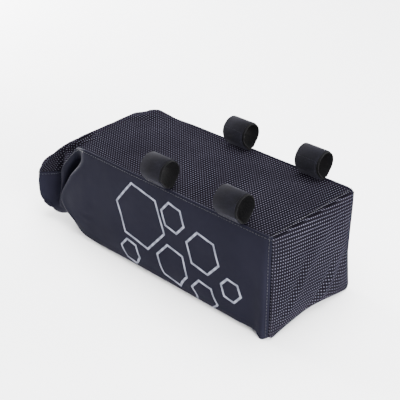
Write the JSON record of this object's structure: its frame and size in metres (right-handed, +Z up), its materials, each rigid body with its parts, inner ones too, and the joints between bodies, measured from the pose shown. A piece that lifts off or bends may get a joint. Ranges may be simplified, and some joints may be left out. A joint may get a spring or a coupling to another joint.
{
  "type": "aero bar bag",
  "caption": "Soft cloth bag with a folded, tapered nose that hangs between handlebar extension tubes from tape strap loops.",
  "frame": {"origin": "on the floor that the bag's flat underside rests on, under the middle of the bag's bounding box", "axes": "+Z up; +X along the bag from its folded nose to its flat rear panel; -Y the side with the left straps"},
  "size_m": [0.3562, 0.1474, 0.1456],
  "materials": {
    "dotted_cloth": "woven, near black with small light dots, slight sheen",
    "coated_cloth": "smooth coated cloth, blue-black, satin",
    "loop_tape": "soft pile tape, dark blue-grey"
  },
  "bodies": {
    "root": {"top_panel": "dotted_cloth", "belly_panel": "coated_cloth", "rear_panel": "dotted_cloth", "strap_left_front": "loop_tape", "strap_left_rear": "loop_tape", "strap_right_front": "loop_tape", "strap_right_rear": "loop_tape"}
  },
  "joints": []
}
